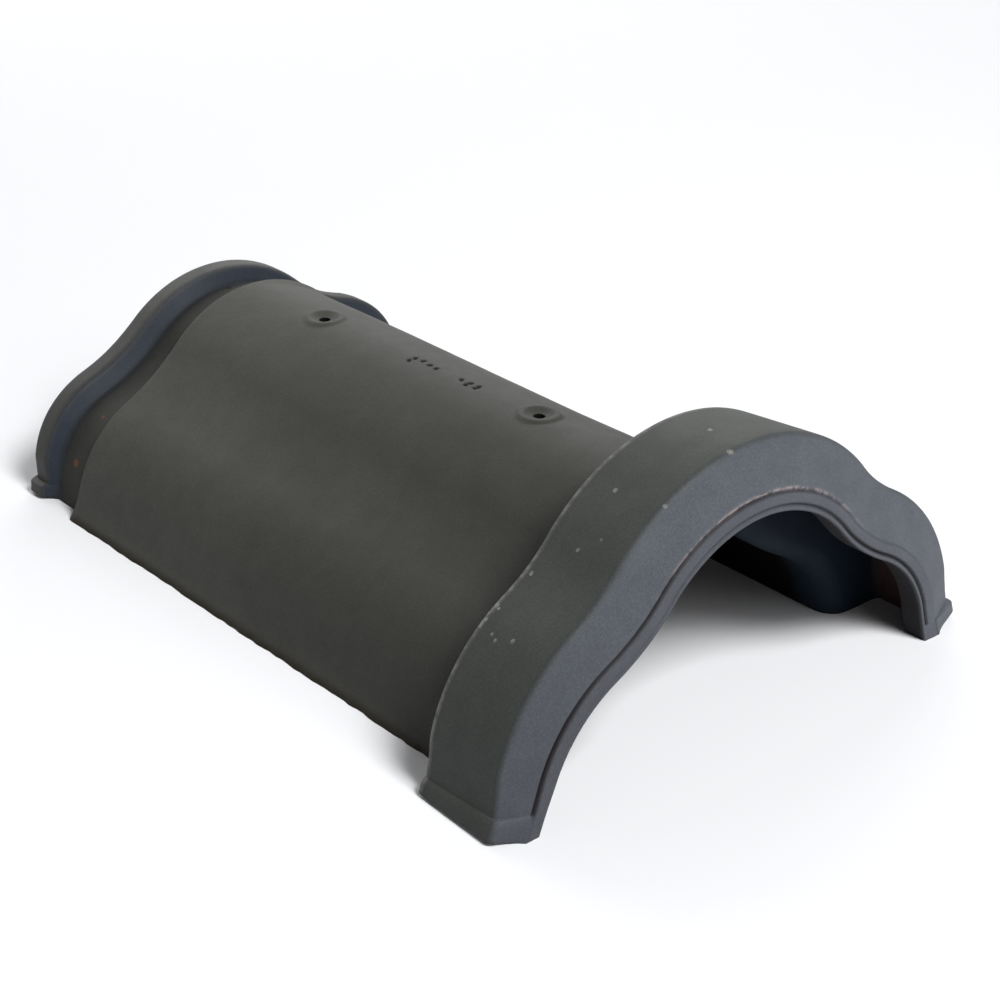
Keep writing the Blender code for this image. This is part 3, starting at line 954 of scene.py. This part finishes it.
def make_floor():
    """Wide pale floor just under the tile's feet."""
    mesh = bpy.data.meshes.new("studio_floor")
    edge = FLOOR_REACH
    corners = [(-edge, -edge, 0.0), (edge, -edge, 0.0), (edge, edge, 0.0), (-edge, edge, 0.0)]
    mesh.from_pydata(corners, [], [(0, 1, 2, 3)])
    floor = bpy.data.objects.new("studio_floor", mesh)
    bpy.context.scene.collection.objects.link(floor)
    floor.location.z = cad_low.z - FLOOR_DROP
    paper = bpy.data.materials.new("studio_paper")
    nodes = Nodes(paper)
    nodes.shader.inputs["Base Color"].default_value = FLOOR_COLOUR
    nodes.shader.inputs["Roughness"].default_value = FLOOR_ROUGHNESS
    nodes.shader.inputs["Specular IOR Level"].default_value = FLOOR_SHEEN
    mesh.materials.append(paper)
    return floor


def make_sky():
    """Pale horizon under a dim sky."""
    world = bpy.data.worlds.new("studio_sky")
    world.use_nodes = True
    tree = world.node_tree
    background = tree.nodes["Background"]
    background.inputs["Color"].default_value = SKY_COLOUR
    split = tree.nodes.new("ShaderNodeSeparateXYZ")
    tree.links.new(tree.nodes.new("ShaderNodeTexCoord").outputs["Generated"], split.inputs[0])
    ramp = tree.nodes.new("ShaderNodeMapRange")
    ramp.inputs["From Min"].default_value = SKY_LOW
    ramp.inputs["From Max"].default_value = SKY_HIGH
    ramp.inputs["To Min"].default_value = SKY_PALE
    ramp.inputs["To Max"].default_value = SKY_DIM
    tree.links.new(split.outputs["Z"], ramp.inputs["Value"])
    tree.links.new(ramp.outputs["Result"], background.inputs["Strength"])
    bpy.context.scene.world = world


def make_studio():
    """Floor, sky and soft lights."""
    floor = make_floor()
    make_sky()
    for light in LIGHTS:
        add_light(*light)


# Camera: its aim, its angles round the tile, its distance and its shifts across the view
CAMERA_TARGET = (0.0, 0.02475, 0.050)
CAMERA_AZIMUTH = math.radians(-40.12)
CAMERA_ELEVATION = math.radians(27.19)
CAMERA_ROLL = math.radians(-0.36)
CAMERA_DISTANCE = 0.99619
CAMERA_SIDEWAYS = 0.03139
CAMERA_UPWARDS = -0.03400
CAMERA_LENS = 81.2
CAMERA_SHIFT = (0.01444, 0.01723)
CAMERA_CLIP = (0.01, 50.0)


def make_camera():
    """Camera at the viewing angle of the photograph."""
    back = direction(CAMERA_AZIMUTH, CAMERA_ELEVATION)
    level = Vector((math.cos(CAMERA_AZIMUTH), math.sin(CAMERA_AZIMUTH), 0.0))
    upright = back.cross(level)
    right = math.cos(CAMERA_ROLL) * level + math.sin(CAMERA_ROLL) * upright
    up = back.cross(right)
    data = bpy.data.cameras.new("camera")
    data.lens = CAMERA_LENS
    data.shift_x, data.shift_y = CAMERA_SHIFT
    data.clip_start, data.clip_end = CAMERA_CLIP
    camera = bpy.data.objects.new("camera", data)
    place = Vector(CAMERA_TARGET) + CAMERA_DISTANCE * back + CAMERA_SIDEWAYS * right + CAMERA_UPWARDS * up
    axes = Matrix((right, up, back)).transposed().to_4x4()
    camera.matrix_world = Matrix.Translation(place) @ axes
    bpy.context.scene.collection.objects.link(camera)
    bpy.context.scene.camera = camera


make_camera()
make_studio()
bpy.context.scene.view_settings.view_transform = "Standard"
tile = make_tile()
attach(tile, "root")
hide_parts("ridge_tile")
